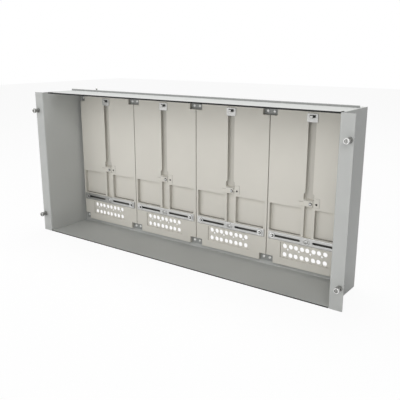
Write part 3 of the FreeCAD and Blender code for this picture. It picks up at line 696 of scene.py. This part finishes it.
class METERBOX_OT_case(bpy.types.Operator):
    """Fold the painted sheet-steel case, with broken edges and rubber strips along its front"""

    bl_idname = "meterbox.case"
    bl_label = "Case"

    def execute(self, context):
        edges = settings().edges
        for node in ("left_side_panel", "right_side_panel", "top_plate", "bottom_plate"):
            sheet = softened(node, edges.sheet)
            seat(sheet, f"painted_{node}", CASE, powder_coat(), node)
            if node == "top_plate":
                # Painted shade on the standing fold.
                refinish(sheet, shade_coat_paint(), self.standing_fold)
        strips = softened("edge_seals", edges.seal)
        seat(strips, "rubber_edge_strips", CASE, black_rubber(), "edge_seals")
        return {"FINISHED"}

    def standing_fold(self, face):
        """Test for the fold that stands on the roof."""
        return face.center.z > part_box("left_side_panel")[1].z + FOLD_FOOT


class METERBOX_OT_earth_stud(bpy.types.Operator):
    """Thread the earth stud that stands on the top plate"""

    bl_idname = "meterbox.earth_stud"
    bl_label = "Earth stud"

    def execute(self, context):
        low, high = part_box("earth_stud")
        radius = (high.x - low.x) / 2
        height = high.z - low.z
        pitch = settings().fasteners.stud_pitch
        root = radius - TOOTH_SHARE * pitch
        foot = STUD_FOOT * pitch
        tip = pitch / 2
        core = turned([(radius, 0), (radius, foot), (root, foot + pitch), (root, height - tip),
                       (root - tip, height)])
        pattern = joined([core, thread(radius, pitch, foot, height - foot)])
        stud = copy_at(pattern, ((low.x + high.x) / 2, (low.y + high.y) / 2, low.z), UPRIGHT)
        bpy.data.objects.remove(pattern)
        smooth(stud)
        seat(stud, "threaded_earth_stud", CASE, zinc_plate(), "earth_stud")
        return {"FINISHED"}


class METERBOX_OT_captive_screws(bpy.types.Operator):
    """Turn the captive screws, with hollow slotted heads and threaded tails, and their sleeves and rings"""

    bl_idname = "meterbox.captive_screws"
    bl_label = "Captive screws"

    def execute(self, context):
        edges = settings().edges
        screw = self.screw()
        for side in SIDES:
            for end in ENDS:
                node = f"captive_screw_{side}_{end}"
                ring = f"captive_ring_{side}_{end}"
                body = f"captive_{side}_{end}"
                copy = copy_at(screw, front_of(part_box(node)))
                smooth(copy)
                seat(copy, f"slotted_screw_{side}_{end}", body, nickel_plate(), node)
                # Painted highlight on the captive screw's front.
                highlight_front(copy)
                seat(softened(ring, edges.turned), f"snap_ring_{side}_{end}", body,
                     nickel_plate(), ring)
        bpy.data.objects.remove(screw)
        sleeves = softened("captive_sleeves", edges.turned)
        seat(sleeves, "flange_sleeves", CASE, nickel_plate(), "captive_sleeves")
        return {"FINISHED"}

    def screw(self):
        """One captive screw along +Z: hollow head, neck, thin waist for the sleeve, and threaded tail."""
        sizes = settings().fasteners
        low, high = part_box("captive_screw_left_top")
        reach = high.y - low.y
        radius = (high.x - low.x) / 2
        depth = sizes.captive_hollow
        hollow = radius - sizes.captive_rim
        chamfer = CAPTIVE_CHAMFER * radius
        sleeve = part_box("captive_sleeves")[0].y - low.y - GAP
        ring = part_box("captive_ring_left_top")[1].y - low.y + GAP
        tail = ring + GAP
        root = sizes.captive_thread - TOOTH_SHARE * sizes.captive_pitch
        inside = [(HOLLOW_START * hollow, depth), (hollow, depth), (hollow, 0)]
        head = [(radius - chamfer, 0), (radius, chamfer), (radius, sizes.captive_head - chamfer),
                (radius - chamfer, sizes.captive_head)]
        neck = [(sizes.captive_neck, sizes.captive_head), (sizes.captive_neck, sleeve)]
        waist = [(sizes.captive_waist, sleeve), (sizes.captive_waist, ring)]
        core = [(root, tail), (root, reach - chamfer), (root - chamfer, reach)]
        screw = turned(inside + head + neck + waist + core)
        cut_slot(screw, sizes.captive_slot, 2 * hollow, depth)
        return joined([screw, thread(sizes.captive_thread, sizes.captive_pitch, tail, reach - tail)])


class METERBOX_OT_meter_boards(bpy.types.Operator):
    """Mould the four meter boards and seat a cable entry plate in the foot of each"""

    bl_idname = "meterbox.meter_boards"
    bl_label = "Meter boards"

    def execute(self, context):
        edges = settings().edges
        for number in BOARDS:
            node = f"meter_board_{number}"
            plate = f"cable_entry_plate_{number}"
            board = softened(node, edges.moulded)
            seat(board, f"moulded_board_{number}", CASE, board_plastic(), node)
            # Painted shade on the side walls of hollows and seams.
            refinish(board, wall_shade_plastic(), self.side_wall)
            # Painted shade on the back of the groove.
            refinish(board, groove_shade_plastic(), self.groove_back(number))
            # Painted shade in the trough behind the rail and in the hole behind the latch block's lug.
            refinish(board, deep_shade_plastic(), self.trough(number))
            refinish(board, deep_shade_plastic(), self.sealing_hole(number))
            # Painted shade on the pockets' ledges.
            refinish(board, edge_shade_plastic(), self.ledge(number))
            seat(softened(plate, edges.plate), f"cable_plate_{number}", CASE,
                 board_plastic(), plate)
        return {"FINISHED"}

    def side_wall(self, face):
        """Test for the walls of hollows and seams that look to a side, which get painted shade."""
        return abs(face.normal.x) > SIDEWAYS

    def groove_back(self, number):
        """Test for the back of the groove that the hanger's guide slides on, which gets painted shade."""
        low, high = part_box(f"hanger_guide_{number}")
        middle = (low.x + high.x) / 2
        foot = front_of(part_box(f"latch_block_{number}")).z

        def wanted(face):
            in_groove = abs(face.center.x - middle) < high.x - low.x and face.center.z > foot
            return in_groove and face.normal.y < FACING and face.center.y > high.y
        return wanted

    def trough(self, number):
        """Test for the walls and the floor of the trough behind the rail, where the nuts slide."""
        low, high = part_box(f"meter_rail_{number}")
        reach = TROUGH_SHARE * (high.z - low.z) / 2
        middle = front_of((low, high))

        def wanted(face):
            behind = abs(face.center.z - middle.z) < reach and low.x < face.center.x < high.x
            return behind and face.center.y > high.y and face.normal.y < -FACING
        return wanted

    def sealing_hole(self, number):
        """Test for the inside of the blind hole behind the latch block's lug."""
        low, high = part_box(f"latch_block_{number}")
        right, up, radius = SEALING_HOLE

        def wanted(face):
            across = math.hypot(face.center.x - (high.x - right), face.center.z - (low.z + up))
            return across < radius and face.center.y > high.y
        return wanted

    def ledge(self, number):
        """Test for the ledges of the pockets, just above the rail, which get painted shade."""
        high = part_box(f"meter_rail_{number}")[1]

        def wanted(face):
            above = high.z < face.center.z < high.z + LEDGE_REACH and face.center.y > high.y
            return above and face.normal.z > UPWARDS
        return wanted


class METERBOX_OT_board_clamps(bpy.types.Operator):
    """Press the clamp plates over the notched board corners and drive their screws"""

    bl_idname = "meterbox.board_clamps"
    bl_label = "Board clamps"

    def execute(self, context):
        sizes = settings().fasteners
        clamps = softened("board_clamps", settings().edges.sheet)
        # Painted shade on the clamp plates in their notches.
        seat(clamps, "clamp_plates", CASE, shade_coat_paint(), "board_clamps")
        screws = pan_screws("board_screws", sizes.clamp_head, sizes.clamp_shank)
        # Painted highlight all over the clamp screws.
        seat(screws, "clamp_screws", CASE, polished_plate(), "board_screws")
        return {"FINISHED"}


class METERBOX_OT_rails(bpy.types.Operator):
    """Press the slotted meter rails and fit their screws and nuts"""

    bl_idname = "meterbox.rails"
    bl_label = "Meter rails"

    def execute(self, context):
        edges = settings().edges
        sizes = settings().fasteners
        screw = self.screw()
        for number in BOARDS:
            rail = f"meter_rail_{number}"
            seat(softened(rail, edges.pressed), f"slotted_rail_{number}", CASE,
                 zinc_plate(), rail)
            for side in SIDES:
                node = f"rail_screw_{side}_{number}"
                nut = f"rail_nut_{side}_{number}"
                body = f"rail_slider_{side}_{number}"
                copy = copy_at(screw, front_of(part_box(node)))
                smooth(copy)
                # Painted shade on the rail screw's sides and painted highlight on its front.
                seat(copy, f"sliding_screw_{side}_{number}", body, shaded_screw_plate(), node)
                highlight_front(copy, sizes.rail_head + HIGHLIGHT_REACH)
                seat(softened(nut, edges.pressed), f"square_nut_{side}_{number}", body,
                     zinc_plate(), nut)
        bpy.data.objects.remove(screw)
        middles = pan_screws("rail_centre_screws", sizes.middle_head, sizes.middle_shank)
        seat(middles, "rail_middle_screws", CASE, zinc_plate(), "rail_centre_screws")
        return {"FINISHED"}

    def screw(self):
        """One sliding rail screw along +Z: slotted pan head, washer and shank."""
        sizes = settings().fasteners
        low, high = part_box("rail_screw_left_1")
        radius = (high.x - low.x) / 2
        front = sizes.rail_head
        back = front + sizes.rail_washer
        edge = WASHER_EDGE * sizes.rail_washer
        washer = [(radius - edge, front), (radius, front + edge),
                  (radius, back - edge), (radius - edge, back)]
        screw = turned(pan_head(sizes.rail_head_radius, sizes.rail_head) + washer
                       + shank(sizes.rail_shank, back, high.y - low.y))
        cut_slot(screw, sizes.slot_width, RAIL_SLOT_SPAN * sizes.rail_head_radius)
        return screw


class METERBOX_OT_hangers(bpy.types.Operator):
    """Bend the hanger clips and mould the guides that slide in the boards' grooves"""

    bl_idname = "meterbox.hangers"
    bl_label = "Hangers"

    def execute(self, context):
        edges = settings().edges
        for number in BOARDS:
            clip = f"hanger_clip_{number}"
            guide = f"hanger_guide_{number}"
            body = f"hanger_{number}"
            seat(softened(clip, edges.pressed), f"bent_clip_{number}", body,
                 clip_plate(), clip)
            seat(softened(guide, edges.plate), f"groove_guide_{number}", body,
                 guide_plastic(), guide)
        return {"FINISHED"}


class METERBOX_OT_latches(bpy.types.Operator):
    """Mould the latch blocks below the grooves and drive their screws"""

    bl_idname = "meterbox.latches"
    bl_label = "Latch blocks"

    def execute(self, context):
        sizes = settings().fasteners
        for number in BOARDS:
            node = f"latch_block_{number}"
            latch = softened(node, settings().edges.plate)
            seat(latch, f"moulded_latch_{number}", CASE, board_plastic(), node)
            # Painted shade on all faces of the latch block but its front.
            refinish(latch, edge_shade_plastic(), self.edge)
        screws = pan_screws("latch_screws", sizes.latch_head, sizes.latch_shank)
        # Painted shade on the latch screws' sides and painted highlight on their fronts.
        seat(screws, "latch_block_screws", CASE, shaded_screw_plate(), "latch_screws")
        highlight_front(screws)
        return {"FINISHED"}

    def edge(self, face):
        """Test for all faces of a latch block but its front, which get painted shade."""
        return face.normal.y > FACING


# Stage

def see_white(tree):
    """1 for rays that look at the background straight, in a gloss or through glass, and 0 for light."""
    path = tree.nodes.new("ShaderNodeLightPath")
    total = path.outputs["Is Camera Ray"]
    for name in ("Is Glossy Ray", "Is Transmission Ray"):
        either = tree.nodes.new("ShaderNodeMath")
        either.operation = "MAXIMUM"
        tree.links.new(total, either.inputs[0])
        tree.links.new(path.outputs[name], either.inputs[1])
        total = either.outputs["Value"]
    return total


def white_floor(whiteness):
    """White floor that keeps a faint shadow."""
    material = bpy.data.materials.new("white_floor")
    material.use_nodes = True
    tree = material.node_tree
    shader = tree.nodes["Principled BSDF"]
    shader.inputs["Base Color"].default_value = FLOOR_GREY
    shader.inputs["Roughness"].default_value = 1.0
    glow = tree.nodes.new("ShaderNodeEmission")
    share = tree.nodes.new("ShaderNodeMath")
    share.operation = "MULTIPLY"
    share.inputs[1].default_value = whiteness
    tree.links.new(see_white(tree), share.inputs[0])
    mix = tree.nodes.new("ShaderNodeMixShader")
    tree.links.new(share.outputs["Value"], mix.inputs["Fac"])
    tree.links.new(shader.outputs["BSDF"], mix.inputs[1])
    tree.links.new(glow.outputs["Emission"], mix.inputs[2])
    tree.links.new(mix.outputs["Shader"], tree.nodes["Material Output"].inputs["Surface"])
    return material


def white_world(ambient):
    """White all round: full white to look at, and a plain level as light."""
    world = bpy.data.worlds.new("white_studio")
    bpy.context.scene.world = world
    world.use_nodes = True
    tree = world.node_tree
    background = tree.nodes["Background"]
    background.inputs["Color"].default_value = (1, 1, 1, 1)
    level = tree.nodes.new("ShaderNodeMapRange")
    level.inputs["To Min"].default_value = ambient
    level.inputs["To Max"].default_value = 1.0
    tree.links.new(see_white(tree), level.inputs["Value"])
    tree.links.new(level.outputs["Result"], background.inputs["Strength"])


def soft_light(name, place_and_size, power):
    """A round soft light that looks at the middle of the box."""
    place, size = place_and_size
    deselect()
    bpy.ops.object.light_add(type="AREA", location=place)
    light = bpy.context.active_object
    light.name = name
    light.data.shape = "DISK"
    light.data.size = size
    light.data.energy = power
    middle = (CAD_BOX[0] + CAD_BOX[1]) / 2
    light.rotation_euler = (middle - Vector(place)).to_track_quat("-Z", "Y").to_euler()


class METERBOX_OT_stage(bpy.types.Operator):
    """Set the floor, the light and the camera"""

    bl_idname = "meterbox.stage"
    bl_label = "Stage"

    def execute(self, context):
        stage = settings().stage
        scene = context.scene
        scene.view_settings.view_transform = "Standard"
        deselect()
        bpy.ops.mesh.primitive_plane_add(size=FLOOR_SIZE, location=(0, 0, -FLOOR_DROP))
        floor = context.active_object
        floor.name = "studio_floor"
        floor.data.materials.append(white_floor(stage.floor_white))
        white_world(stage.ambient)
        soft_light("top_light", TOP_LIGHT, stage.top_power)
        soft_light("left_light", LEFT_LIGHT, stage.left_power)
        soft_light("right_light", RIGHT_LIGHT, stage.right_power)
        deselect()
        bpy.ops.object.camera_add(location=stage.eye,
                                  rotation=(math.pi / 2 - stage.elevation, 0, stage.azimuth))
        camera = context.active_object
        camera.name = "photo_camera"
        camera.data.sensor_width = SENSOR
        camera.data.lens = stage.lens
        scene.camera = camera
        return {"FINISHED"}


class METERBOX_PT_panel(bpy.types.Panel):
    """Every step of the meter box, in order"""

    bl_idname = "METERBOX_PT_panel"
    bl_label = "Meter Box"
    bl_space_type = "VIEW_3D"
    bl_region_type = "UI"
    bl_category = "Meter Box"

    def draw(self, context):
        for step in STEPS:
            self.layout.operator(step.bl_idname)


STEPS = (METERBOX_OT_case, METERBOX_OT_earth_stud, METERBOX_OT_captive_screws, METERBOX_OT_meter_boards,
         METERBOX_OT_board_clamps, METERBOX_OT_rails, METERBOX_OT_hangers, METERBOX_OT_latches,
         METERBOX_OT_stage)
CLASSES = (MeterBoxEdges, MeterBoxFasteners, MeterBoxFinishes, MeterBoxStage, MeterBoxSettings, *STEPS,
           METERBOX_PT_panel)


def register():
    for item in CLASSES:
        bpy.utils.register_class(item)
    bpy.types.Scene.meter_box = PointerProperty(type=MeterBoxSettings)


def unregister():
    del bpy.types.Scene.meter_box
    for item in reversed(CLASSES):
        bpy.utils.unregister_class(item)


def main():
    register()
    for step in STEPS:
        group, name = step.bl_idname.split(".")
        getattr(getattr(bpy.ops, group), name)()


if __name__ == "__main__":
    main()
